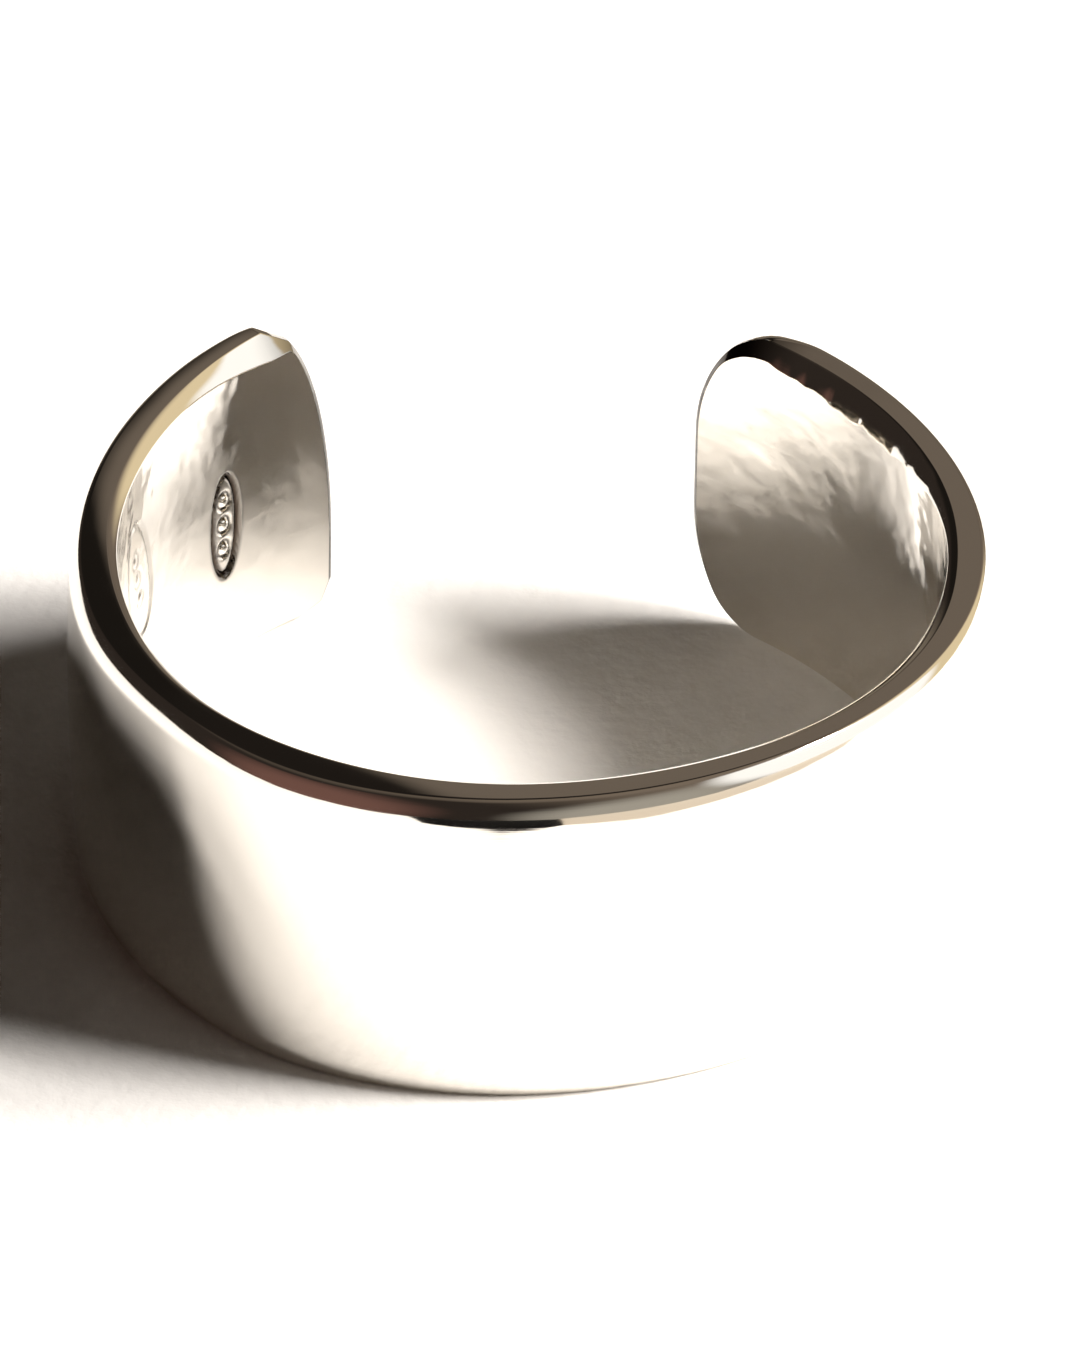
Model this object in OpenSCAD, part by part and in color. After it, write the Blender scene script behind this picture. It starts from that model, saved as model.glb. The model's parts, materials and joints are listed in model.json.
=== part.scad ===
// Open wide-band finger ring, one piece of polished silver.
// It stands on its lower edge, with the finger hole upright along Z and the gap at the back, towards +Y.
// The origin is the centre of the finger hole, halfway up the band.

/* [Finger hole] */
// Inside diameter of the ring
inner_d = 18.2; // [16:0.1:21]

/* [Band] */
// Width of the band, along the finger
band_w = 8.2; // [7.5:0.1:10]
// Thickness of the metal at the middle of the band
wall = 1.0; // [1:0.05:1.4]
// Angle at the finger hole's centre between the two tips
gap_deg = 51; // [40:1:70]

/* [Edges] */
// Radius of the soft shoulder between the outer face and each edge
shoulder_r = 0.8; // [0.8:0.1:1.2]
// Radius that ends each edge on the outside
edge_r = 0.25; // [0.2:0.05:0.35]
// Radius that ends each edge on the finger side
comfort_r = 0.3; // [0.2:0.05:0.35]

/* [Tips] */
// The corners of the two tongue-shaped tips are quarter ellipses, filed by eye
// Left tip's top corner, along the band
left_top_along = 2.3; // [1:0.1:3.6]
// Left tip's top corner, across the band
left_top_across = 6.1; // [1:0.1:6.4]
// Left tip's foot corner, along the band
left_foot_along = 0.9; // [0.5:0.1:3.6]
// Left tip's foot corner, across the band
left_foot_across = 0.9; // [0.5:0.1:3.6]
// Right tip's top corner, along the band
right_top_along = 1.9; // [1:0.1:3.6]
// Right tip's top corner, across the band
right_top_across = 3.5; // [1:0.1:3.6]
// Right tip's foot corner, along the band
right_foot_along = 1.8; // [1:0.1:3.6]
// Right tip's foot corner, across the band
right_foot_across = 3.4; // [1:0.1:3.6]
// Radius of each tip's rounded nose, as a share of the thickness
tip_nose = 0.62; // [0.55:0.01:0.75]

/* [Struck marks] */
// Height of the oval next to the tip
mark_1_h = 3.0; // [2.4:0.1:3.4]
// Width of the oval next to the tip
mark_1_w = 1.1; // [1:0.05:1.4]
// Height of the oval further in
mark_2_h = 3.6; // [2.4:0.1:3.8]
// Width of the oval further in
mark_2_w = 1.7; // [1:0.05:1.9]
// Depth of both ovals in the finger side
mark_depth = 0.12; // [0.08:0.01:0.2]

/* [Hidden] */
$fn = 120;

inner_r = inner_d / 2;
outer_r = inner_r + wall;
mid_r = inner_r + wall / 2;
half_w = band_w / 2;
// How far a cutter reaches past what it cuts
past = 1;

// Tilt of the outer face where the crown meets the shoulder, and where the shoulder meets the edge
crown_tilt = 2;
shoulder_tilt = 40;
arc_steps = 6;
// Flat faces that draw a quarter of an ellipse
ellipse_steps = 8;

nose_r = tip_nose * wall;
// Half of the gap as it is cut, before a nose fills its part of it
root_deg = gap_deg / 2 + asin(nose_r / mid_r);
// A corner's circle stands this far proud of the edge and the tip, so that it crosses both cleanly
corner_proud = 0.03;

// Plain round pellets left standing in each oval
pellet_count = 3;
pellet_r = 0.17;
pellet_pitch = 0.66;
// Each oval: angle from +X, height above the middle of the band, lean in degrees, height, width
marks = [
    [136, -0.25, -1, mark_1_h, mark_1_w],
    [162.5, 0.9, -18, mark_2_h, mark_2_w],
];

// Unit step at an angle
function heading(a) = [cos(a), sin(a)];

// Points of an arc about a centre; first is 1 where the point before it already stands at its start
function arc(centre, r, from, to, first = 1) =
    [for (i = [first:arc_steps]) centre + r * heading(from + (to - from) * i / arc_steps)];

// The same centre in the lower half of the section
function low(centre) = [centre[0], -centre[1]];

// Arc centres in the band's section, as radius and height: crown, shoulder, outer edge, finger side's edge
crown_half = half_w - shoulder_r * (sin(shoulder_tilt) - sin(crown_tilt)) - edge_r * (1 - sin(shoulder_tilt));
crown_r = crown_half / sin(crown_tilt);
crown_c = [outer_r - crown_r, 0];
shoulder_c = crown_c + (crown_r - shoulder_r) * heading(crown_tilt);
edge_c = shoulder_c + (shoulder_r - edge_r) * heading(shoulder_tilt);
comfort_c = [inner_r + comfort_r, half_w - comfort_r];

section = concat(
    arc(low(edge_c), edge_r, -90, -shoulder_tilt, first = 0),
    arc(low(shoulder_c), shoulder_r, -shoulder_tilt, -crown_tilt),
    arc(crown_c, crown_r, -crown_tilt, crown_tilt),
    arc(shoulder_c, shoulder_r, crown_tilt, shoulder_tilt),
    arc(edge_c, edge_r, shoulder_tilt, 90),
    arc(comfort_c, comfort_r, 90, 180, first = 0),
    arc(low(comfort_c), comfort_r, 180, 270, first = 0)
);

// The whole hoop, before the gap is cut
module hoop() {
    rotate_extrude() polygon(section);
}

// What stays, seen along the finger hole: all but the gap, with a round nose on each tip
module plan_kept() {
    reach = 2 * outer_r;
    difference() {
        circle(r = outer_r + past);
        polygon([[0, 0], reach * heading(90 - root_deg), [0, reach], reach * heading(90 + root_deg)]);
    }
    for (side = [-1, 1])
        rotate(90 + side * root_deg) translate([mid_r, 0]) circle(r = nose_r);
}

// Points of an ellipse about a centre, with half axes along X and Y, through some of its quarters
function ellipse(centre, halves, quarters) =
    [for (i = [0:quarters * ellipse_steps - (quarters == 4 ? 1 : 0)]) let (a = 90 * i / ellipse_steps)
        centre + [halves[0] * cos(a), halves[1] * sin(a)]];

// What goes from the upper corner of a tip that points along +Y, so that the corner is round
module corner_waste(along, across) {
    centre = [nose_r - along, half_w - across] + corner_proud * [1, 1];
    translate([inner_r - past, 0, 0]) rotate([90, 0, 90]) linear_extrude(wall + 2 * past)
        polygon(concat(
            ellipse(centre, [along, across], 1),
            [centre + [0, across + past], centre + [along + past, across + past], centre + [along + past, 0]]
        ));
}

// What goes from the four corners of the two tips
module tip_waste() {
    rotate(90 - root_deg) {
        corner_waste(right_top_along, right_top_across);
        mirror([0, 0, 1]) corner_waste(right_foot_along, right_foot_across);
    }
    mirror([1, 0, 0]) rotate(90 - root_deg) {
        corner_waste(left_top_along, left_top_across);
        mirror([0, 0, 1]) corner_waste(left_foot_along, left_foot_across);
    }
}

// The hollow of a struck oval in the finger side; its pellets keep the level of the face
module struck_mark(angle, z, lean, h, w) {
    intersection() {
        cylinder(h = band_w, r = inner_r + mark_depth, center = true);
        rotate(angle) translate([inner_r - past, 0, z]) rotate([90, 0, 90]) linear_extrude(2 * past)
            rotate(lean) difference() {
                polygon(ellipse([0, 0], [w / 2, h / 2], 4));
                for (i = [0:pellet_count - 1])
                    translate([0, (i - (pellet_count - 1) / 2) * pellet_pitch]) circle(r = pellet_r);
            }
    }
}

module band() {
    color("silver") difference() {
        intersection() {
            hoop();
            linear_extrude(band_w + 2 * past, center = true) plan_kept();
        }
        tip_waste();
        for (m = marks) struck_mark(m[0], m[1], m[2], m[3], m[4]);
    }
}

band();
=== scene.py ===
"""Open band ring of polished silver, standing on its edge on white paper.

The ring is made the way a silversmith makes it. A strip is cut, its edges are filed round, and two oval
marks are struck in it while it is flat. A Geometry Nodes tree then bends it round a mandrel.
"""
import json
import math

import bmesh
import bpy
from mathutils import Matrix, Vector


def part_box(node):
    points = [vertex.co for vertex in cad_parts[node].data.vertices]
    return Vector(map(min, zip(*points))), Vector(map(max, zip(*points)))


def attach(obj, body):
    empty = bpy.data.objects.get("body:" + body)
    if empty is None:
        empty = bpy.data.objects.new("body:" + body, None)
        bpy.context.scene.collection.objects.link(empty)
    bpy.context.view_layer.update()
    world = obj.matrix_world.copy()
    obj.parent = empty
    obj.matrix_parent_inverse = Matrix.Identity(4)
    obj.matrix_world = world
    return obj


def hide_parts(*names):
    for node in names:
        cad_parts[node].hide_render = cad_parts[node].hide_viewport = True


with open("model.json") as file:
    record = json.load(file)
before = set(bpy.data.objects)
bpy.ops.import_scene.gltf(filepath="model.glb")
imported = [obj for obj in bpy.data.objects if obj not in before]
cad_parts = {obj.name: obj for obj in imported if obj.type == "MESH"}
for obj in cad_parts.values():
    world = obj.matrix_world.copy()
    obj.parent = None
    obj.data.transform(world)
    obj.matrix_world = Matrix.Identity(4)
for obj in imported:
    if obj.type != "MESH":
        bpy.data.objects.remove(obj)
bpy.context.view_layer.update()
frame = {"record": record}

bl_info = {
    "name": "Open Band Ring",
    "version": (1, 0, 0),
    "blender": (4, 5, 0),
    "location": "3D View > Sidebar > Ring",
    "description": "Forges an open silver band ring and sets it on white paper",
    "category": "Add Mesh",
}

BAND_LOW, BAND_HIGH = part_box("band")
FINGER_BORE = next(m for m in frame["record"]["mounts"] if m["name"] == "finger_bore")

MM = 0.001
INNER_RADIUS = FINGER_BORE["dims"]["r_mm"] * MM
OUTER_RADIUS = (BAND_HIGH.x - BAND_LOW.x) / 2
BAND_WIDTH = BAND_HIGH.z - BAND_LOW.z

# The photograph's frame, in pixels, and where the foot of the ring's axis lies in it
PHOTO_WIDTH = 1080
PHOTO_HEIGHT = 1350
PHOTO_FOOT_X = 520
PHOTO_FOOT_Y = 833
# Blender's sensor width, in mm, goes with the long side of the frame
SENSOR = 36.0


def linear(hex_colour):
    """A colour written as sRGB hex, as the linear RGBA that shaders take."""
    channels = [int(hex_colour[i:i + 2], 16) / 255 for i in (0, 2, 4)]
    return tuple(c / 12.92 if c <= 0.04045 else ((c + 0.055) / 1.055) ** 2.4 for c in channels) + (1.0,)


def smooth_rise(value, start, end):
    """0 up to start, 1 from end on, and a smooth rise between them."""
    t = min(max((value - start) / (end - start), 0.0), 1.0)
    return t * t * (3 - 2 * t)


def add_node(tree, kind, settings=None, inputs=None):
    """Adds a node, sets its properties, and fills its inputs with values or with links from sockets."""
    node = tree.nodes.new(kind)
    for name, value in (settings or {}).items():
        setattr(node, name, value)
    for key, value in (inputs or {}).items():
        if isinstance(value, bpy.types.NodeSocket):
            tree.links.new(value, node.inputs[key])
        else:
            node.inputs[key].default_value = value
    return node


class RingSizes(bpy.types.PropertyGroup):
    """Sizes of the strip and of how it is bent."""

    inner_radius: bpy.props.FloatProperty(
        name="Inner Radius", description="Radius of the finger hole",
        default=INNER_RADIUS, unit="LENGTH", precision=5)
    wall: bpy.props.FloatProperty(
        name="Wall", description="Thickness where the outer face stands out most",
        default=OUTER_RADIUS - INNER_RADIUS + 0.1 * MM, unit="LENGTH", precision=5)
    width: bpy.props.FloatProperty(
        name="Band Width", description="Width of the band along the finger",
        default=BAND_WIDTH, unit="LENGTH", precision=5)
    gap: bpy.props.FloatProperty(
        name="Gap", description="Angle between the two tips at the finger hole's centre",
        default=math.radians(52.3), subtype="ANGLE")
    shoulder: bpy.props.FloatProperty(
        name="Shoulder", description="Radius of the soft shoulder between the outer face and the top edge",
        default=0.9 * MM, unit="LENGTH", precision=5)
    foot_shoulder: bpy.props.FloatProperty(
        name="Foot Shoulder", description="The same radius along the foot, which was left softer",
        default=1.0 * MM, unit="LENGTH", precision=5)
    shoulder_end: bpy.props.FloatProperty(
        name="Shoulder End", description="Tilt of the outer face where the shoulder turns into the edge",
        default=math.radians(40), subtype="ANGLE")
    edge: bpy.props.FloatProperty(
        name="Edge", description="Radius that ends the edge on the outside",
        default=0.15 * MM, unit="LENGTH", precision=5)
    bevel: bpy.props.FloatProperty(
        name="Bevel", description="Usual width, over the edge, of the bevel filed along the finger side",
        default=0.3 * MM, unit="LENGTH", precision=5)
    bevel_drop: bpy.props.FloatProperty(
        name="Bevel Drop", description="How far the bevel usually runs down the finger side",
        default=0.22 * MM, unit="LENGTH", precision=5)
    tip_bevel: bpy.props.FloatProperty(
        name="Tip Bevel", description="Width of the small bevel round the tips' ends",
        default=0.1 * MM, unit="LENGTH", precision=5)
    tip_edge: bpy.props.FloatProperty(
        name="Tip Edge", description="Height at which the outer face's rounding ends at the tips' ends",
        default=0.25 * MM, unit="LENGTH", precision=5)
    tip_thinning: bpy.props.FloatProperty(
        name="Tip Thinning", description="How much thinner the strip becomes towards its ends",
        default=0.12 * MM, unit="LENGTH", precision=5)
    out_of_round: bpy.props.FloatProperty(
        name="Out of Round", description="How far the hand-bent hoop swells and pinches",
        default=0.207 * MM, unit="LENGTH", precision=5)
    swell_heading: bpy.props.FloatProperty(
        name="Swell Heading", description="Direction of one of the three swells, from +X towards +Y",
        default=math.radians(-15.9), subtype="ANGLE")
    crown_peak: bpy.props.FloatProperty(
        name="Crown Peak", description="Height above the middle at which the outer face stands out most",
        default=1.8 * MM, unit="LENGTH", precision=5)
    crown_radius: bpy.props.FloatProperty(
        name="Crown Radius", description="Radius of the outer face's shallow crown, across the band",
        default=65 * MM, unit="LENGTH", precision=5)
    mark_depth: bpy.props.FloatProperty(
        name="Mark Depth", description="Depth of a fully struck oval",
        default=0.12 * MM, unit="LENGTH", precision=5)


class RingFinish(bpy.types.PropertyGroup):
    """Colours and polish of the metal."""

    silver: bpy.props.StringProperty(
        name="Silver", description="Colour of polished silver, as sRGB hex", default="EAE6DF")
    # Colour of the tarnish in the marks, also used for the painted shade round them and along the tips'
    # ends
    tarnish_and_painted_shade: bpy.props.StringProperty(
        name="Tarnish", description="Colour of the darkened metal in the struck marks, as sRGB hex",
        default="2E2620")
    roughness: bpy.props.FloatProperty(
        name="Roughness", description="Roughness of the polished metal",
        default=0.07, min=0.0, max=1.0, subtype="FACTOR")


class RingStage(bpy.types.PropertyGroup):
    """Paper, light and camera."""

    paper: bpy.props.StringProperty(
        name="Paper", description="Colour of the paper, as sRGB hex", default="F4F1EE")
    key_power: bpy.props.FloatProperty(
        name="Window Power", description="Power of the window's light", default=42.0, min=0.0, unit="POWER")
    camera_distance: bpy.props.FloatProperty(
        name="Camera Distance", description="Distance from the camera to the foot of the ring's axis",
        default=0.4, unit="LENGTH")
    camera_elevation: bpy.props.FloatProperty(
        name="Camera Elevation", description="Height of the camera above the horizon",
        default=math.radians(36.8), subtype="ANGLE")
    camera_turn: bpy.props.FloatProperty(
        name="Camera Turn", description="How far the camera stands round to the left of the ring's front",
        default=math.radians(1.75), subtype="ANGLE")
    camera_roll: bpy.props.FloatProperty(
        name="Camera Roll", description="Tilt of the camera about its own line of sight",
        default=math.radians(1.14), subtype="ANGLE")
    pixels_per_mm: bpy.props.FloatProperty(
        name="Pixels per Millimetre", description="Scale of the photograph at the foot of the ring's axis",
        default=45.0)


# The heading of the ring's front, where the middle of the strip comes to lie, in degrees from +X towards +Y
FRONT = -90

# The struck ovals on the finger side: heading from +X, height above the middle in mm, lean, height and
# width of the oval in mm, and how fully it was struck, from 0 to 1
MARKS = (
    {"heading": 136.0, "height": -0.25, "lean": -1.0, "tall": 2.85, "wide": 1.05, "strike": 1.0},
    {"heading": 162.5, "height": 0.9, "lean": -18.0, "tall": 3.6, "wide": 1.7, "strike": 0.3},
)
# Heights between which the marks lie
MARKS_LOW, MARKS_HIGH = -1.9 * MM, 2.8 * MM
# Sizes in a struck oval, in mm: the sunk line round it, how far outside it tarnish and painted shade can
# reach, and the pellets left standing
GROOVE = 0.14
TARNISH_AND_PAINTED_SHADE_REACH = 0.3
PELLETS = 3
PELLET_RADIUS = 0.17
PELLET_PITCH = 0.66
# Depth of the field inside the sunk line, as a share of that line's
FIELD_DEPTH = 0.35

# The tips' corners are quarter ellipses, filed by eye, and all in mm: half axes along and across the strip,
# and how far from the tip's end the outer face's rounding is whole and where it begins
TIP_CORNERS = {
    "left top": {"along": 1.8, "across": 6.2, "round": (0.3, 2.4)},
    "left foot": {"along": 1.0, "across": 0.85, "round": (0.25, 1.3)},
    "right top": {"along": 2.0, "across": 3.0, "round": (1.1, 3.0)},
    "right foot": {"along": 1.9, "across": 3.3, "round": (0.4, 2.0)},
}
# Length of each end of the strip over which it becomes thinner
THINNED_END = 4.0 * MM

# Where the file took more or less off the top edge: heading from +X and spread in degrees, and in mm the
# extra width of the bevel over the edge, its extra drop down the finger side, and the extra fall of the
# edge's outer part. The lean is the outward tilt of the edge, in degrees.
FILE_STROKES = (
    {"heading": 33.0, "spread": 19.0, "over": 0.06, "drop": 0.32, "fall": 0.0, "lean": -5.5},
    {"heading": 54.0, "spread": 12.0, "over": 0.0, "drop": 0.0, "fall": 0.0, "lean": -4.0},
    {"heading": -5.0, "spread": 14.0, "over": -0.08, "drop": -0.12, "fall": 0.05, "lean": 0.0},
    {"heading": 120.0, "spread": 17.0, "over": 0.11, "drop": 0.4, "fall": 0.0, "lean": 0.0},
    {"heading": 148.0, "spread": 30.0, "over": 0.0, "drop": 0.0, "fall": 0.06, "lean": 0.0},
    {"heading": 194.0, "spread": 20.0, "over": -0.12, "drop": -0.12, "fall": 0.12, "lean": 6.0},
    {"heading": 236.0, "spread": 24.0, "over": -0.12, "drop": -0.08, "fall": 0.06, "lean": 7.0},
    {"heading": 288.0, "spread": 20.0, "over": -0.05, "drop": -0.05, "fall": 0.05, "lean": 0.0},
)
# The first stroke, on the right, left file marks in the bevel: spacing along the strip and depth, in mm
FILE_MARKS = ((1.9, 0.045), (0.83, 0.035), (0.47, 0.02))
# Length of the stretch on each side of that stroke's middle where the marks show
FILE_MARKS_REACH = 3.5 * MM
# Where hammering left the wall thinner: heading from +X and spread in degrees, and depth in mm
HAMMERED = ((217.0, 15.0, 0.16), (312.0, 34.0, 0.14))

# How far the bevel bulges from a flat cut towards the corner that it takes off, from 0 to 1, and the
# distances from a tip's end between which the bulge grows to that
BEVEL_BULGE = 0.35
BULGE_START, BULGE_WHOLE = 1.5 * MM, 5.0 * MM
# Width of the row of faces beside a crease, which softens it
CREASE = 0.02 * MM
# Depth of the frame of rows that follows the outline, round the plain grid of columns and rows
FRAME = 0.8 * MM
# Rows of faces over the shoulder, the outer edge, the flat of the edge and the bevel
SHOULDER_ROWS = 10
EDGE_ROWS = 8
LAND_ROWS = 4
BEVEL_ROWS = 6


def arc_radius(sizes):
    """Radius of the arc that the middle of the metal is bent to, which keeps its length."""
    return sizes.inner_radius + sizes.wall / 2


def angle_between(heading, other):
    """Difference of two headings in degrees, from -180 to 180."""
    return (heading - other + 180) % 360 - 180


def strip_heading(sizes, x):
    """Heading on the bent band, in degrees from +X, of a place along the strip."""
    return math.degrees(x / arc_radius(sizes)) + FRONT


def strip_place(sizes, heading):
    """Place along the strip of a heading on the bent band."""
    return math.radians(angle_between(heading, FRONT)) * arc_radius(sizes)


class TipCorner:
    """A quarter ellipse that rounds one corner of the strip; side and up, 1 or -1, say which."""

    def __init__(self, shape, half_length, half, side, up):
        self.along, self.across = shape["along"] * MM, shape["across"] * MM
        self.side, self.up = side, up
        self.round = [distance * MM for distance in shape["round"]]
        self.centre_x = half_length - self.along
        self.centre_z = half - self.across

    def inset(self, angle):
        """Place that lies the frame's depth inside the ellipse, and the step outwards, without signs."""
        cosine, sine = math.cos(angle), math.sin(angle)
        length = math.hypot(cosine / self.along, sine / self.across)
        step_x, step_z = cosine / self.along / length, sine / self.across / length
        place_x = self.centre_x + self.along * cosine - step_x * FRAME
        return place_x, self.centre_z + self.across * sine - step_z * FRAME, step_x, step_z

    def column_end(self, x, half):
        """Height at which the grid's column at x ends, and the unit step outwards from there."""
        if abs(x) <= self.centre_x:
            return self.up * (half - FRAME), (0.0, self.up)
        low, high = 0.0, math.pi / 2
        # Each round halves the angle that is left, and 40 of them find the place
        for _ in range(40):
            middle = (low + high) / 2
            if self.inset(middle)[0] > abs(x):
                low = middle
            else:
                high = middle
        _, z, step_x, step_z = self.inset(low)
        return self.up * z, (self.side * step_x, self.up * step_z)


class StripSection:
    """Heights of the outer face over the finger side, at a distance inside the outline, in metres.

    Side is 1 for the section beside the top edge and -1 for the one beside the foot.
    """

    def __init__(self, sizes, side, shoulder):
        self.half = sizes.width / 2
        self.side = side
        self.edge = sizes.edge
        self.shoulder = shoulder
        self.wall = sizes.wall
        self.peak = sizes.crown_peak
        self.crown = sizes.crown_radius
        # The shoulder takes over from the crown at about the crown's own tilt
        start = math.asin((self.half - side * self.peak - shoulder / 2) / self.crown)
        end = sizes.shoulder_end
        self.end_sine = math.sin(end)
        self.edge_depth = self.edge * (1 - self.end_sine)
        self.shoulder_depth = self.edge_depth + self.shoulder * (self.end_sine - math.sin(start))
        shoulder_top = self.crown_height(side * (self.half - self.shoulder_depth))
        self.shoulder_centre = shoulder_top - self.shoulder * math.cos(start)
        self.land = self.shoulder_centre + (self.shoulder - self.edge) * math.cos(end)

    def outer(self, inside):
        """Height of the outer face beside the edge."""
        if inside < self.edge_depth:
            sine = 1 - inside / self.edge
            return self.land + self.edge * math.sqrt(max(1 - sine * sine, 0.0))
        if inside < self.shoulder_depth:
            sine = self.end_sine - (inside - self.edge_depth) / self.shoulder
            return self.shoulder_centre + self.shoulder * math.sqrt(1 - sine * sine)
        return self.crown_height(self.side * (self.half - inside))

    def crown_height(self, z):
        """Height of the outer face's crown at a height above the middle of the band."""
        return self.wall - self.crown + math.sqrt(self.crown ** 2 - (z - self.peak) ** 2)

    def outer_rings(self):
        """Distance and height of the outer face's rings, from the frame's inner border out to the edge."""
        between = [FRAME - (FRAME - self.shoulder_depth) * k / 2 for k in (1, 2)]
        shoulder = [self.shoulder_depth - (self.shoulder_depth - self.edge_depth) * k / SHOULDER_ROWS
                    for k in range(1, SHOULDER_ROWS + 1)]
        turn = math.acos(1 - self.edge_depth / self.edge)
        edge = [self.edge * (1 - math.cos(turn * (1 - k / EDGE_ROWS))) for k in range(1, EDGE_ROWS + 1)]
        return [(inside, self.outer(inside)) for inside in between + shoulder + edge]


def nose_rings(count):
    """The same rings at the tips' ends, which are rounded off.

    Each is a distance inside the outline and a height, as a share of the rise from the edge to the crown.
    """
    turns = [math.pi / 2 * k / count for k in range(1, count + 1)]
    return [(FRAME * (1 - math.sin(turn)), math.cos(turn)) for turn in turns]


def inner_rings(over, drop, bulge):
    """Distance and height of the finger side's rings over a bevel, in order from the outline inwards."""
    pull = (1 - bulge) / 2
    middle_inside, middle_height = drop * pull, over * pull
    shares = [CREASE / over] + [k / BEVEL_ROWS for k in range(1, BEVEL_ROWS)] + [1 - CREASE / over, 1.0]
    rings = [(0.0, over + CREASE), (0.0, over)]
    for t in shares:
        near, mid, far = (1 - t) ** 2, 2 * t * (1 - t), t * t
        rings.append((mid * middle_inside + far * drop, near * over + mid * middle_height))
    return rings + [(drop + CREASE, 0.0)]


class StruckMark:
    """An oval struck in the flat strip, with three plain pellets standing in it."""

    def __init__(self, facts, sizes):
        self.x = strip_place(sizes, facts["heading"])
        self.z = facts["height"] * MM
        self.lean = math.radians(facts["lean"])
        self.tall = facts["tall"] * MM
        self.wide = facts["wide"] * MM
        self.strike = facts["strike"]
        self.depth = sizes.mark_depth * self.strike

    def inside(self, x, z):
        """Distance inside the oval, less than 0 outside it, and the place in its own axes."""
        dx, dz = x - self.x, z - self.z
        across = dx * math.cos(self.lean) + dz * math.sin(self.lean)
        along = dz * math.cos(self.lean) - dx * math.sin(self.lean)
        # Near the outline the distance is what this share lacks to 1, over how fast the share grows
        share = math.hypot(2 * across / self.wide, 2 * along / self.tall)
        slope = math.hypot(across / self.wide ** 2, along / self.tall ** 2) * 4
        return (1 - share) * share / max(slope, 1.0), across, along

    def pellets(self, across, along):
        """How much of a pellet stands at a place, and how much of the moat round a pellet."""
        stand, moat = 0.0, 0.0
        for k in range(PELLETS):
            middle = (k - (PELLETS - 1) / 2) * PELLET_PITCH * MM
            off = math.hypot(across, along - middle) / (PELLET_RADIUS * MM)
            stand = max(stand, 1 - smooth_rise(off, 0.5, 1.1))
            moat = max(moat, math.exp(-((off - 1.2) / 0.3) ** 2))
        return stand, moat

    def hollow(self, x, z):
        """Depth of the mark at a place, and how much tarnish and painted shade darken the metal there, from
        0 to 1.
        """
        reach, across, along = self.inside(x, z)
        if reach < -TARNISH_AND_PAINTED_SHADE_REACH * MM:
            return 0.0, 0.0
        half_groove = GROOVE * MM / 2
        groove = math.exp(-((reach - half_groove) / half_groove) ** 4)
        field = FIELD_DEPTH * smooth_rise(reach, 0.0, GROOVE * MM)
        stand, moat = self.pellets(across, along)
        share = max(groove, field + 0.5 * moat) - field * stand
        # Tarnish stays where a cloth can't reach: in the sunk line, round the pellets, faintly on the
        # field.
        # The dark that reaches past the sunk line onto its rim is painted shade, which hides the bright
        # reflection in the line's outer wall, and round the pellets' feet it is partly painted shade too
        dark = math.exp(-((reach - half_groove) / (2.2 * half_groove)) ** 4)
        tarnish_and_painted_shade = max(dark, 0.9 * moat, 0.1 * field / FIELD_DEPTH) * (1 - stand)
        return self.depth * share, tarnish_and_painted_shade * self.strike


def filed_edge(sizes, x, z, step_z):
    """Width and drop of the bevel at a place on the outline, and the fall and slope of the edge there."""
    heading = strip_heading(sizes, x)
    over, drop, fall, lean = sizes.bevel, sizes.bevel_drop, 0.0, 0.0
    for stroke in FILE_STROKES if z > 0 else ():
        share = math.exp(-(angle_between(heading, stroke["heading"]) / stroke["spread"]) ** 2)
        over += stroke["over"] * MM * share
        drop += stroke["drop"] * MM * share
        fall += stroke["fall"] * MM * share
        lean += stroke["lean"] * share
        if stroke is FILE_STROKES[0]:
            waves = (depth * MM * math.sin(2 * math.pi * x / (pitch * MM)) for pitch, depth in FILE_MARKS)
            drop += share * sum(waves)
    # Round the corners all this fades into the tips' small bevel, and the drop fades first
    side = smooth_rise(abs(step_z), 0.2, 0.97)
    near_side = smooth_rise(abs(step_z), 0.5, 0.97)
    over = sizes.tip_bevel + (over - sizes.tip_bevel) * side
    drop = sizes.tip_bevel + (drop - sizes.tip_bevel) * near_side
    return over, drop, fall * side, math.tan(math.radians(lean)) * side


def thinning(sizes, x, half_length):
    """How much thinner than the wall the strip is at a place, towards the tips and where hammered."""
    thinner = sizes.tip_thinning * (1 - smooth_rise(half_length - abs(x), 0.0, THINNED_END))
    heading = strip_heading(sizes, x)
    for place, spread, depth in HAMMERED:
        thinner += depth * MM * math.exp(-(angle_between(heading, place) / spread) ** 2)
    return thinner


def columns_from_tip(length, corner, marks, filed=(0.0, 0.0)):
    """Distances of the columns from a tip to the middle of the strip.

    They lie closer together round the corner, over the marks and where the file marks show.
    """
    coarse, over_filed, over_mark = 0.3 * MM, 0.14 * MM, 0.05 * MM
    turn = math.radians(2.5)
    places = [0.0]
    while places[-1] < length - coarse / 2:
        here = places[-1]
        step = coarse
        if here < corner:
            step = min(step, turn * math.sqrt(here * (2 * corner - here)) + corner * (1 - math.cos(turn)))
        # Towards a mark the steps shrink with the distance that is left
        for off, wide in marks:
            step = min(step, max(over_mark, (abs(here - off) - wide / 2 - 0.12 * MM) * 0.3))
        if abs(here - filed[0]) < filed[1]:
            step = min(step, over_filed)
        places.append(here + step)
    places[-1] = length
    return places


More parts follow.
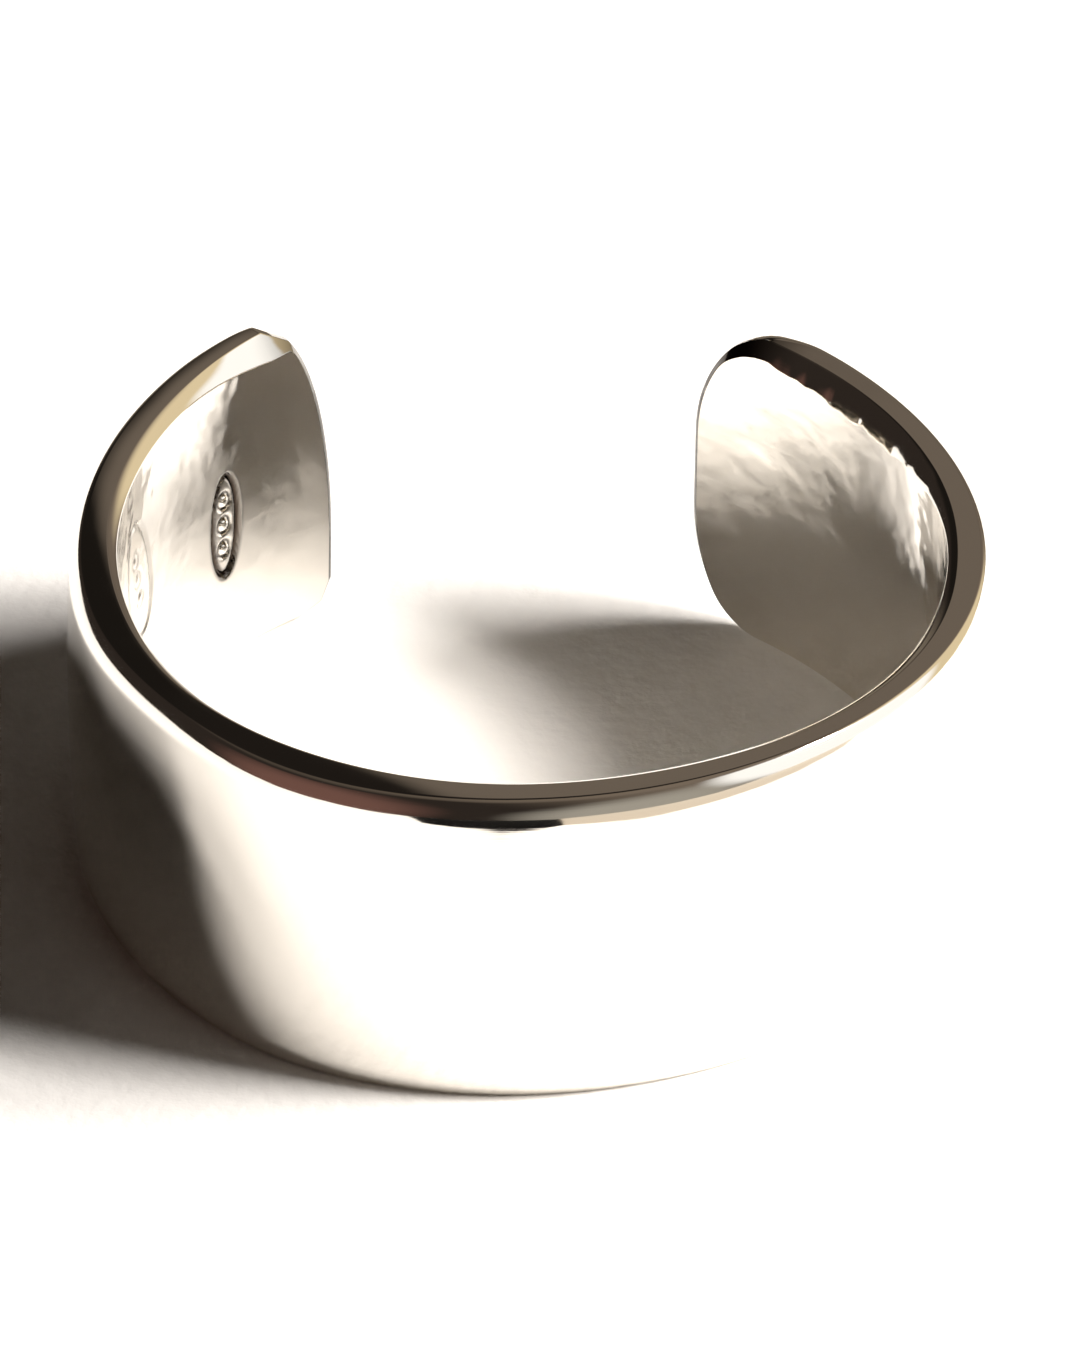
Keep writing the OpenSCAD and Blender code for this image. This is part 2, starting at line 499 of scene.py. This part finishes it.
def row_shares(half, low, high):
    """Rows as shares of a column from its foot to its top: fine from low to high, coarse elsewhere."""
    fine, coarse = 0.055 * MM, 0.3 * MM
    below = round((half + low) / coarse)
    between = round((high - low) / fine)
    above = round((half - high) / coarse)
    rows = [-half + (half + low) * k / below for k in range(below)]
    rows += [low + (high - low) * k / between for k in range(between)]
    rows += [high + (half - high) * k / above for k in range(above + 1)]
    return [(z + half) / (2 * half) for z in rows]


def border(grid):
    """The items on a grid's border, in order round it."""
    last = len(grid[0]) - 1
    foot = [column[0] for column in grid]
    top = [column[-1] for column in reversed(grid)]
    return foot + [grid[-1][j] for j in range(1, last)] + top + [grid[0][j] for j in range(last - 1, 0, -1)]


class FlatStrip:
    """The flat strip as a closed mesh: X along it, Y its thickness with the finger side at 0, Z across it.

    A grid of columns and rows fills the middle of each face. A frame of rings round it follows the outline,
    so that the filed edge runs round the tips as it does along the sides.
    """

    def __init__(self, sizes):
        self.sizes = sizes
        self.half = sizes.width / 2
        self.half_length = arc_radius(sizes) * (math.pi - sizes.gap / 2)
        self.sections = {
            "top": StripSection(sizes, 1, sizes.shoulder),
            "foot": StripSection(sizes, -1, sizes.foot_shoulder),
        }
        self.side_rings = {edge: section.outer_rings() for edge, section in self.sections.items()}
        self.tip_rings = nose_rings(len(self.side_rings["top"]))
        self.corners = {
            name: TipCorner(shape, self.half_length, self.half,
                            1 if "right" in name else -1, 1 if "top" in name else -1)
            for name, shape in TIP_CORNERS.items()
        }
        self.marks = [StruckMark(facts, sizes) for facts in MARKS]
        self.points, self.tarnish_and_painted_shade, self.finger_side = [], [], []

    def add_point(self, x, y, z, tarnish_and_painted_shade=0.0, finger_side=0.0):
        """Adds a point with its share of tarnish and painted shade, and 1 for the finger side, and returns
        its number.
        """
        self.points.append((x, y, z))
        self.tarnish_and_painted_shade.append(tarnish_and_painted_shade)
        self.finger_side.append(finger_side)
        return len(self.points) - 1

    def corner(self, x, edge):
        """The tip's corner on the same half of the strip as x, at the edge named top or foot."""
        return self.corners[("right " if x > 0 else "left ") + edge]

    def columns(self):
        """Places of the grid's columns along the strip."""
        grid_half = self.half_length - FRAME
        left_corner = max(self.corner(-1, edge).along for edge in self.sections)
        right_corner = max(self.corner(1, edge).along for edge in self.sections)
        marks = [(mark.x + grid_half, mark.wide) for mark in self.marks]
        filed = strip_place(self.sizes, FILE_STROKES[0]["heading"])
        left = columns_from_tip(grid_half, left_corner, marks)
        right = columns_from_tip(grid_half, right_corner, [], (grid_half - filed, FILE_MARKS_REACH))
        from_right = [grid_half - place for place in reversed(right[:-1])]
        return [place - grid_half for place in left] + from_right

    def add_grids(self):
        """Adds the points of both faces' grids, and returns them and the places with their outward steps.

        The outer face's grid comes first, then the finger side's, which the marks are struck in.
        """
        shares = row_shares(self.half - FRAME, MARKS_LOW, MARKS_HIGH)
        outer_grid, inner_grid, places = [], [], []
        for x in self.columns():
            foot, foot_step = self.corner(x, "foot").column_end(x, self.half)
            top, top_step = self.corner(x, "top").column_end(x, self.half)
            heights = [foot + (top - foot) * share for share in shares]
            to_tip = (math.copysign(1.0, x), 0.0)
            steps = [foot_step] + [to_tip] * (len(heights) - 2) + [top_step]
            places.append([(x, z, step) for z, step in zip(heights, steps)])
            thinner = thinning(self.sizes, x, self.half_length)
            outer_grid.append([
                self.add_point(x, self.sections["top"].crown_height(z) - thinner, z) for z in heights])
            sunk = [[mark.hollow(x, z) for mark in self.marks] for z in heights]
            inner_grid.append([
                self.add_point(x, sum(depth for depth, _ in here), z, max(dark for _, dark in here), 1.0)
                for z, here in zip(heights, sunk)])
        return outer_grid, inner_grid, places

    def edge_rings(self, edge, crown, nose):
        """Rings from the outer face to the edge: the side's, mixed with the tip's by the share of nose."""
        # Where the border runs up a tip, the rings are lifted or lowered to the crown there
        lift = crown - self.sections[edge].outer(FRAME)
        rings = []
        for (side_inside, side_height), (tip_inside, share) in zip(self.side_rings[edge], self.tip_rings):
            tip_height = self.sizes.tip_edge + (crown - self.sizes.tip_edge) * share
            side_height += lift
            rings.append((side_inside + (tip_inside - side_inside) * nose,
                          side_height + (tip_height - side_height) * nose))
        return rings

    def add_ladder(self, x, z, step_x, step_z):
        """Adds the points over the edge, from the outer face to the finger side, beside the border."""
        edge_x, edge_z = x + step_x * FRAME, z + step_z * FRAME
        to_tip = self.half_length - abs(edge_x)
        edge = "top" if edge_z > 0 else "foot"
        crown = self.sections[edge].crown_height(z)
        nose = 1 - smooth_rise(to_tip, *self.corner(x, edge).round)
        over, drop, fall, slope = filed_edge(self.sizes, edge_x, edge_z, step_z)
        thinner = thinning(self.sizes, edge_x, self.half_length)

        rings = self.edge_rings(edge, crown, nose)
        land = rings[-1][1]
        flat_height = land - over - 2 * CREASE
        rings += [(0.0, land - CREASE - flat_height * k / LAND_ROWS) for k in range(LAND_ROWS)]
        rings += inner_rings(over, drop, BEVEL_BULGE * smooth_rise(to_tip, BULGE_START, BULGE_WHOLE))
        ladder = []
        for number, (inside, height) in enumerate(rings):
            share = max((height - over) / (crown - over), 0.0)
            filed_off = fall * share ** 2 + slope * (height - over) * (share > 0)
            inside += filed_off * max(1 - inside / FRAME, 0.0)
            height -= thinner * share
            # A dark line is painted along a tip's end, between its nose and the finger side, in the marks'
            # darker colour
            tarnish_and_painted_shade = nose * (len(self.tip_rings) <= number < len(rings) - 1)
            last = float(number == len(rings) - 1)
            place_x, place_z = edge_x - step_x * inside, edge_z - step_z * inside
            ladder.append(self.add_point(place_x, height, place_z, tarnish_and_painted_shade, last))
        return ladder

    def mesh(self):
        """The closed mesh, its faces outwards, smooth, and mapped in millimetres of the flat strip."""
        outer_grid, inner_grid, places = self.add_grids()
        ladders = [self.add_ladder(x, z, *step) for x, z, step in border(places)]
        faces = []
        for grid in (outer_grid, inner_grid):
            for here, there in zip(grid, grid[1:]):
                faces += [(here[j], there[j], there[j + 1], here[j + 1]) for j in range(len(here) - 1)]
        starts, ends = border(outer_grid), border(inner_grid)
        whole = [[start] + ladder + [end] for start, ladder, end in zip(starts, ladders, ends)]
        for here, there in zip(whole, whole[1:] + whole[:1]):
            faces += [(here[j], here[j + 1], there[j + 1], there[j]) for j in range(len(here) - 1)]

        mesh = bpy.data.meshes.new("strip")
        mesh.from_pydata(self.points, [], faces)
        for name, values in (("painted_shade_and_tarnish", self.tarnish_and_painted_shade), ("finger_side", self.finger_side)):
            mesh.attributes.new(name, "FLOAT", "POINT").data.foreach_set("value", values)
        work = bmesh.new()
        work.from_mesh(mesh)
        bmesh.ops.recalc_face_normals(work, faces=work.faces)
        along = work.loops.layers.uv.new("strip_mm")
        for face in work.faces:
            face.smooth = True
            for corner_loop in face.loops:
                place = corner_loop.vert.co
                corner_loop[along].uv = (place.x / MM, place.z / MM)
        work.to_mesh(mesh)
        work.free()
        return mesh


def bending_tree(material):
    """A Geometry Nodes tree that bends the strip round a mandrel and leaves it a little out of round."""
    tree = bpy.data.node_groups.new("Bend round mandrel", "GeometryNodeTree")
    sockets = tree.interface
    sockets.new_socket("Geometry", in_out="INPUT", socket_type="NodeSocketGeometry")
    for name in ("Inner Radius", "Arc Radius", "Out of Round", "Swell Heading"):
        sockets.new_socket(name, in_out="INPUT", socket_type="NodeSocketFloat")
    sockets.new_socket("Geometry", in_out="OUTPUT", socket_type="NodeSocketGeometry")

    given = add_node(tree, "NodeGroupInput").outputs
    place = add_node(tree, "GeometryNodeInputPosition").outputs[0]
    flat = add_node(tree, "ShaderNodeSeparateXYZ", inputs={0: place}).outputs
    turn = add_node(tree, "ShaderNodeMath", {"operation": "DIVIDE"}, {
        0: flat["X"], 1: given["Arc Radius"]}).outputs[0]

    # Three swells round the hoop. The heading is the turn less a quarter, because the strip's middle is the
    # front, so a quarter is added to the swell's heading.
    heading = add_node(tree, "ShaderNodeMath", {"operation": "ADD"}, {
        0: given["Swell Heading"], 1: math.pi / 2}).outputs[0]
    from_swell = add_node(tree, "ShaderNodeMath", {"operation": "SUBTRACT"}, {
        0: turn, 1: heading}).outputs[0]
    thrice = add_node(tree, "ShaderNodeMath", {"operation": "MULTIPLY"}, {0: from_swell, 1: 3.0}).outputs[0]
    wave = add_node(tree, "ShaderNodeMath", {"operation": "COSINE"}, {0: thrice}).outputs[0]
    base = add_node(tree, "ShaderNodeMath", {"operation": "ADD"}, {
        0: flat["Y"], 1: given["Inner Radius"]}).outputs[0]
    radius = add_node(tree, "ShaderNodeMath", {"operation": "MULTIPLY_ADD"}, {
        0: wave, 1: given["Out of Round"], 2: base}).outputs[0]

    sine = add_node(tree, "ShaderNodeMath", {"operation": "SINE"}, {0: turn}).outputs[0]
    cosine = add_node(tree, "ShaderNodeMath", {"operation": "COSINE"}, {0: turn}).outputs[0]
    side = add_node(tree, "ShaderNodeMath", {"operation": "MULTIPLY"}, {0: radius, 1: sine}).outputs[0]
    back = add_node(tree, "ShaderNodeMath", {"operation": "MULTIPLY"}, {0: radius, 1: cosine}).outputs[0]
    front = add_node(tree, "ShaderNodeMath", {"operation": "MULTIPLY"}, {0: back, 1: -1.0}).outputs[0]
    bent = add_node(tree, "ShaderNodeCombineXYZ", inputs={"X": side, "Y": front, "Z": flat["Z"]}).outputs[0]

    moved = add_node(tree, "GeometryNodeSetPosition", inputs={
        "Geometry": given["Geometry"], "Position": bent}).outputs[0]
    # The bend sends the strip's thickness towards -Y at the front, which turns its faces inside out
    outwards = add_node(tree, "GeometryNodeFlipFaces", inputs={"Mesh": moved}).outputs[0]
    whole = add_node(tree, "GeometryNodeRealizeInstances", inputs={"Geometry": outwards}).outputs[0]
    dressed = add_node(tree, "GeometryNodeSetMaterial", inputs={
        "Geometry": whole, "Material": material}).outputs[0]
    add_node(tree, "NodeGroupOutput", inputs={"Geometry": dressed})
    return tree


def plain_object(name, data):
    """A new object at the origin with this data, linked to the scene."""
    made = bpy.data.objects.new(name, data)
    bpy.context.scene.collection.objects.link(made)
    return made


def bend_strip(mesh, tree, values):
    """Bends the strip with the tree and returns the result as a plain mesh."""
    strip = plain_object("strip", mesh)
    modifier = strip.modifiers.new("Bend", "NODES")
    modifier.node_group = tree
    for item in tree.interface.items_tree:
        if item.in_out == "INPUT" and item.name in values:
            modifier[item.identifier] = values[item.name]
    seen = strip.evaluated_get(bpy.context.evaluated_depsgraph_get())
    bent = bpy.data.meshes.new_from_object(seen)
    bpy.data.objects.remove(strip)
    bpy.data.meshes.remove(mesh)
    bpy.data.node_groups.remove(tree)
    return bent


def new_material(name, values):
    """A new material with some of its shader's inputs set, its node tree and its shader."""
    material = bpy.data.materials.new(name)
    material.use_nodes = True
    shader = material.node_tree.nodes["Principled BSDF"]
    for key, value in values.items():
        shader.inputs[key].default_value = value
    return material, material.node_tree, shader


# What polishing left on the silver: lines along the band, soft hills, smears of compound, and an uneven
# finger side. Real lines are finer, and these are as coarse as they need to be to show. Each spacing is a
# millimetre over how many of them it holds.
LINE_LENGTH = 4.0 * MM
LINE_SPACING = MM / 12
HILL_SPACING = MM / 0.33
SMEAR_SPACING = MM / 0.7
UNEVEN_SPACING = MM / 0.75


def polished_silver(finish):
    """Sterling silver, filed, hand-polished and a little worn: a mirror with faint lines along the band."""
    material, tree, shader = new_material("polished_sterling_silver", {"Metallic": 1.0})

    # Polishing lines are a noise drawn out along the band, on a map that is in millimetres
    strip = add_node(tree, "ShaderNodeUVMap", {"uv_map": "strip_mm"}).outputs[0]
    drawn = add_node(tree, "ShaderNodeMapping", inputs={
        "Vector": strip, "Scale": (MM / LINE_LENGTH, MM / LINE_SPACING, 1.0)}).outputs[0]
    lines = add_node(tree, "ShaderNodeTexNoise", inputs={
        "Vector": drawn, "Scale": 1.0, "Detail": 3.0}).outputs["Fac"]
    fine = add_node(tree, "ShaderNodeBump", inputs={
        "Strength": 0.06, "Distance": 0.02 * MM, "Height": lines}).outputs[0]

    # Hand polishing leaves soft hills, which bend the reflections
    place = add_node(tree, "ShaderNodeTexCoord").outputs["Object"]
    hills = add_node(tree, "ShaderNodeTexNoise", inputs={
        "Vector": place, "Scale": 1 / HILL_SPACING, "Detail": 1.0}).outputs["Fac"]
    soft = add_node(tree, "ShaderNodeBump", inputs={
        "Strength": 0.25, "Distance": 0.1 * MM, "Height": hills, "Normal": fine}).outputs[0]

    # The finger side was only polished with a stick, and is left uneven
    inner = add_node(tree, "ShaderNodeAttribute", {"attribute_name": "finger_side"}).outputs["Fac"]
    uneven = add_node(tree, "ShaderNodeTexNoise", inputs={
        "Vector": place, "Scale": 1 / UNEVEN_SPACING, "Detail": 2.0}).outputs["Fac"]
    stick = add_node(tree, "ShaderNodeBump", inputs={
        "Strength": inner, "Distance": 0.045 * MM, "Height": uneven, "Normal": soft}).outputs[0]

    smear = add_node(tree, "ShaderNodeTexNoise", inputs={
        "Vector": place, "Scale": 1 / SMEAR_SPACING, "Detail": 4.0}).outputs["Fac"]
    polish = add_node(tree, "ShaderNodeMapRange", inputs={
        "Value": smear, "From Min": 0.35, "From Max": 0.7,
        "To Min": finish.roughness * 0.75, "To Max": finish.roughness * 1.6}).outputs[0]

    # Tarnish in the marks, and painted shade round them and along the tips' ends, darken the silver here
    shade = add_node(tree, "ShaderNodeAttribute", {"attribute_name": "painted_shade_and_tarnish"}).outputs["Fac"]
    colour = add_node(tree, "ShaderNodeMix", {"data_type": "RGBA"}, {
        0: shade, 6: linear(finish.silver), 7: linear(finish.tarnish_and_painted_shade)}).outputs[2]
    tree.links.new(colour, shader.inputs["Base Color"])
    tree.links.new(polish, shader.inputs["Roughness"])
    tree.links.new(stick, shader.inputs["Normal"])
    return material


# The sheet that the ring stands on, and the spacing of its tooth
PAPER_WIDTH = 0.297
PAPER_DEPTH = 0.210
TOOTH_SPACING = 0.4 * MM
# The reflection cards and the paper are all matt
MATT = {"Roughness": 0.9, "Specular IOR Level": 0.1}


def white_paper(stage):
    """Uncoated white paper: matt, with a faint tooth."""
    material, tree, shader = new_material("white_paper", {"Base Color": linear(stage.paper)} | MATT)
    place = add_node(tree, "ShaderNodeTexCoord").outputs["Object"]
    tooth = add_node(tree, "ShaderNodeTexNoise", inputs={
        "Vector": place, "Scale": 1 / TOOTH_SPACING, "Detail": 3.0}).outputs["Fac"]
    bump = add_node(tree, "ShaderNodeBump", inputs={
        "Strength": 0.5, "Distance": 0.06 * MM, "Height": tooth}).outputs[0]
    tree.links.new(bump, shader.inputs["Normal"])
    return material


# What the polished metal sees of the room, each glow painted over the ones before it: heading and elevation
# of its middle, the angles from there at which it is whole and at which it has faded, and its colour
ROOM_DARK = "2A2420"
ROOM_GLOWS = (
    {"name": "ceiling", "heading": 10, "elevation": 88, "core": 10, "fade": 45, "colour": "4C443C"},
    {"name": "window wall", "heading": 8, "elevation": 32, "core": 34, "fade": 82, "colour": "72665A"},
    {"name": "front corner", "heading": -62, "elevation": 2, "core": 8, "fade": 32, "colour": "9C978D"},
    {"name": "curtain", "heading": 17, "elevation": 20, "core": 24, "fade": 41, "colour": "D8C6A2"},
    {"name": "bright window", "heading": -15, "elevation": 17, "core": 25, "fade": 33, "colour": "FFFEFC"},
    {"name": "brick", "heading": -136, "elevation": 10, "core": 10, "fade": 36, "colour": "6A4C44"},
    {"name": "far wall", "heading": 88, "elevation": 2, "core": 10, "fade": 28, "colour": "746A5E"},
    {"name": "frame behind", "heading": 114, "elevation": 38, "core": 14, "fade": 25, "colour": "181512"},
    {"name": "frame above", "heading": 92, "elevation": 62, "core": 10, "fade": 21, "colour": "1C1815"},
    {"name": "pale strip", "heading": 87, "elevation": 39, "core": 5, "fade": 12, "colour": "665C52"},
)
# Strength of the room as the metal shows it
ROOM_IN_METAL = 1.25
# The part of the room whose light the metal throws on the paper, and what that adds to the strength
SUNLIT_PANE = {"name": "sunlit pane", "heading": 2, "elevation": 30, "core": 17, "fade": 26}
WINDOW_ON_PAPER = 14.0
# Light that the room gives to the paper itself, besides the window's
ROOM_FILL = "120E0B"
# Colour of the window's light
KEY_COLOUR = "FFFBF6"


def direction(heading, elevation):
    """Unit vector at a heading from +X towards +Y and an elevation above the horizon."""
    level = math.cos(elevation)
    return Vector((math.cos(heading) * level, math.sin(heading) * level, math.sin(elevation)))


def level_left(heading):
    """Level unit vector a quarter turn to the left of a heading."""
    return Vector((-math.sin(heading), math.cos(heading), 0.0))


def glow_share(tree, look, glow):
    """How much of a glow is seen along each line of sight, from 0 to 1."""
    towards = direction(math.radians(glow["heading"]), math.radians(glow["elevation"]))
    along = add_node(tree, "ShaderNodeVectorMath", {"operation": "DOT_PRODUCT"}, {
        0: look, 1: towards}).outputs["Value"]
    soft = {"interpolation_type": "SMOOTHSTEP", "label": glow["name"]}
    return add_node(tree, "ShaderNodeMapRange", soft, {
        "Value": along, "From Min": math.cos(math.radians(glow["fade"])),
        "From Max": math.cos(math.radians(glow["core"]))}).outputs[0]


def dim_room():
    """White for the camera past the paper, a faint fill for the paper, and a painted room for the metal."""
    world = bpy.data.worlds.new("dim_room")
    world.use_nodes = True
    tree = world.node_tree
    tree.nodes.clear()
    look = add_node(tree, "ShaderNodeTexCoord").outputs["Generated"]
    colour = linear(ROOM_DARK)
    for glow in ROOM_GLOWS:
        colour = add_node(tree, "ShaderNodeMix", {"data_type": "RGBA"}, {
            0: glow_share(tree, look, glow), 6: colour, 7: linear(glow["colour"])}).outputs[2]

    # A ray that comes to the metal from the paper also finds the sunlit pane
    path = add_node(tree, "ShaderNodeLightPath").outputs
    bounced = add_node(tree, "ShaderNodeMath", {"operation": "MINIMUM"}, {
        0: path["Diffuse Depth"], 1: 1.0}).outputs[0]
    thrown = add_node(tree, "ShaderNodeMath", {"operation": "MULTIPLY"}, {
        0: bounced, 1: glow_share(tree, look, SUNLIT_PANE)}).outputs[0]
    power = add_node(tree, "ShaderNodeMath", {"operation": "MULTIPLY_ADD"}, {
        0: thrown, 1: WINDOW_ON_PAPER, 2: ROOM_IN_METAL}).outputs[0]
    room = add_node(tree, "ShaderNodeBackground", inputs={"Color": colour, "Strength": power}).outputs[0]
    fill = add_node(tree, "ShaderNodeBackground", inputs={
        "Color": linear(ROOM_FILL), "Strength": 1.0}).outputs[0]
    white = add_node(tree, "ShaderNodeBackground", inputs={
        "Color": (1.0, 1.0, 1.0, 1.0), "Strength": 1.0}).outputs[0]
    lit = add_node(tree, "ShaderNodeMixShader", inputs={
        0: path["Is Diffuse Ray"], 1: room, 2: fill}).outputs[0]
    both = add_node(tree, "ShaderNodeMixShader", inputs={
        0: path["Is Camera Ray"], 1: lit, 2: white}).outputs[0]
    add_node(tree, "ShaderNodeOutputWorld", inputs={"Surface": both})
    return world


# The window's two panes as seen from the ring, in degrees: heading and elevation of the middle, lean of the
# long side, and the angles that the long and short sides take up. Only the first is mirrored in the metal.
WINDOW_PANES = (
    {"heading": -13.2, "elevation": 39.4, "lean": 63.5, "long": 27.0, "short": 5.4, "mirrored": True},
    {"heading": 5.8, "elevation": 39.5, "lean": 34.0, "long": 21.0, "short": 14.0, "mirrored": False},
)
# Distance from the ring to the window, in metres
WINDOW_DISTANCE = 1.2

# Cards on the table in front, below the picture, that only the metal shows: painted reflections of a dark
# thing and a grey thing out of sight. Colour, and outline from above in mm
FRONT_CARDS = (
    {
        "name": "dark_reflection_card", "colour": "070707",
        "outline": ((-7.8, -27.0), (-4.6, -23.4), (-0.8, -21.4), (2.4, -22.4), (4.4, -26.0),
                    (20.0, -104.0), (-38.0, -104.0)),
    },
    {
        "name": "grey_reflection_card", "colour": "B9AFA1",
        "outline": ((4.4, -26.0), (9.0, -20.6), (22.0, -19.6), (46.0, -20.0), (145.0, -44.0),
                    (145.0, -104.0), (20.0, -104.0)),
    },
)
# Height of the cards above the paper
CARD_HEIGHT = 0.05 * MM


def flat_sheet(name, outline, height, material):
    """A flat sheet of one face with a material, at a height."""
    mesh = bpy.data.meshes.new(name)
    mesh.from_pydata([(x, y, height) for x, y in outline], [], [tuple(range(len(outline)))])
    mesh.materials.append(material)
    return plain_object(name, mesh)


def front_card(facts, foot):
    """A thin matt card on the paper that only the metal shows, as a painted reflection."""
    colour = {"Base Color": linear(facts["colour"])}
    material = new_material(facts["name"] + "_matt", colour | MATT)[0]
    outline = [(x * MM, y * MM) for x, y in facts["outline"]]
    card = flat_sheet(facts["name"], outline, foot.z + CARD_HEIGHT, material)
    card.visible_camera = False
    card.visible_diffuse = False
    card.visible_shadow = False
    return card


def aim(thing, place, side, back):
    """Puts a lamp or camera at a place, its X along side, looking away from back."""
    turn = Matrix((side, back.cross(side), back)).transposed()
    thing.matrix_world = Matrix.Translation(place) @ turn.to_4x4()


def window_pane(stage, foot, pane, name):
    """One pane of the window that lights the ring from the right, as an area light."""
    heading, elevation = math.radians(pane["heading"]), math.radians(pane["elevation"])
    away = direction(heading, elevation)
    level = level_left(heading)
    lean = math.radians(pane["lean"])
    long_side = level * math.cos(lean) + away.cross(level) * math.sin(lean)
    lamp = bpy.data.lights.new(name, "AREA")
    lamp.shape = "RECTANGLE"
    lamp.size = 2 * WINDOW_DISTANCE * math.tan(math.radians(pane["long"] / 2))
    lamp.size_y = 2 * WINDOW_DISTANCE * math.tan(math.radians(pane["short"] / 2))
    lamp.energy = stage.key_power / len(WINDOW_PANES)
    lamp.color = linear(KEY_COLOUR)[:3]
    light = plain_object(name, lamp)
    light.visible_glossy = pane["mirrored"]
    aim(light, foot + away * WINDOW_DISTANCE, long_side, away)
    return light


def photo_camera(stage, foot):
    """A camera that sees the foot of the ring's axis where the photograph shows it."""
    heading = math.radians(FRONT) - stage.camera_turn
    away = direction(heading, stage.camera_elevation)
    level = level_left(heading)
    upright = away.cross(level)
    right = level * math.cos(stage.camera_roll) + upright * math.sin(stage.camera_roll)
    up = upright * math.cos(stage.camera_roll) - level * math.sin(stage.camera_roll)
    scale = stage.pixels_per_mm / MM
    eye = foot + away * stage.camera_distance
    to_right = (PHOTO_WIDTH / 2 - PHOTO_FOOT_X) / scale
    to_top = (PHOTO_FOOT_Y - PHOTO_HEIGHT / 2) / scale
    back = (eye - (foot + right * to_right + up * to_top)).normalized()
    lens = bpy.data.cameras.new("photo_camera")
    lens.sensor_width = SENSOR
    lens.lens = scale * stage.camera_distance * SENSOR / PHOTO_HEIGHT
    lens.clip_start, lens.clip_end = 0.01, 10.0
    camera = plain_object("photo_camera", lens)
    aim(camera, eye, up.cross(back).normalized(), back)
    return camera


class RING_OT_forge_band(bpy.types.Operator):
    """Cut a silver strip, strike its marks and bend it into the open band"""

    bl_idname = "ring.forge_band"
    bl_label = "Forge Band"

    def execute(self, context):
        sizes, finish = context.scene.ring_sizes, context.scene.ring_finish
        silver = polished_silver(finish)
        bent = bend_strip(FlatStrip(sizes).mesh(), bending_tree(silver), {
            "Inner Radius": sizes.inner_radius,
            "Arc Radius": arc_radius(sizes),
            "Out of Round": sizes.out_of_round,
            "Swell Heading": sizes.swell_heading,
        })
        bent.name = "polished_band"
        band = plain_object("polished_band", bent)
        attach(band, "root")
        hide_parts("band")
        return {"FINISHED"}


class RING_OT_set_stage(bpy.types.Operator):
    """Lay the white paper and place the light, the room and the camera"""

    bl_idname = "ring.set_stage"
    bl_label = "Set Stage"

    def execute(self, context):
        stage = context.scene.ring_stage
        foot = Vector((0.0, 0.0, BAND_LOW.z))
        wide, deep = PAPER_WIDTH / 2, PAPER_DEPTH / 2
        corners = [(-wide, -deep), (wide, -deep), (wide, deep), (-wide, deep)]
        flat_sheet("paper", corners, foot.z, white_paper(stage))
        for facts in FRONT_CARDS:
            front_card(facts, foot)
        for number, pane in enumerate(WINDOW_PANES, 1):
            window_pane(stage, foot, pane, f"window_pane_{number}")
        context.scene.world = dim_room()
        context.scene.camera = photo_camera(stage, foot)
        context.scene.view_settings.view_transform = "Standard"
        return {"FINISHED"}


class RING_PT_workbench(bpy.types.Panel):
    """Sizes, finish and stage of the ring"""

    bl_label = "Open Band Ring"
    bl_space_type = "VIEW_3D"
    bl_region_type = "UI"
    bl_category = "Ring"

    def draw(self, context):
        scene = context.scene
        for title, group, operator in (
            ("Band", scene.ring_sizes, RING_OT_forge_band),
            ("Finish", scene.ring_finish, None),
            ("Stage", scene.ring_stage, RING_OT_set_stage),
        ):
            box = self.layout.box()
            box.label(text=title)
            for name in group.__annotations__:
                box.prop(group, name)
            if operator:
                box.operator(operator.bl_idname)


CLASSES = (RingSizes, RingFinish, RingStage, RING_OT_forge_band, RING_OT_set_stage, RING_PT_workbench)
GROUPS = {"ring_sizes": RingSizes, "ring_finish": RingFinish, "ring_stage": RingStage}


def register():
    for kind in CLASSES:
        bpy.utils.register_class(kind)
    for name, group in GROUPS.items():
        setattr(bpy.types.Scene, name, bpy.props.PointerProperty(type=group))


def unregister():
    for name in GROUPS:
        delattr(bpy.types.Scene, name)
    for kind in reversed(CLASSES):
        bpy.utils.unregister_class(kind)


def main():
    register()
    bpy.ops.ring.forge_band()
    bpy.ops.ring.set_stage()


if __name__ == "__main__":
    main()
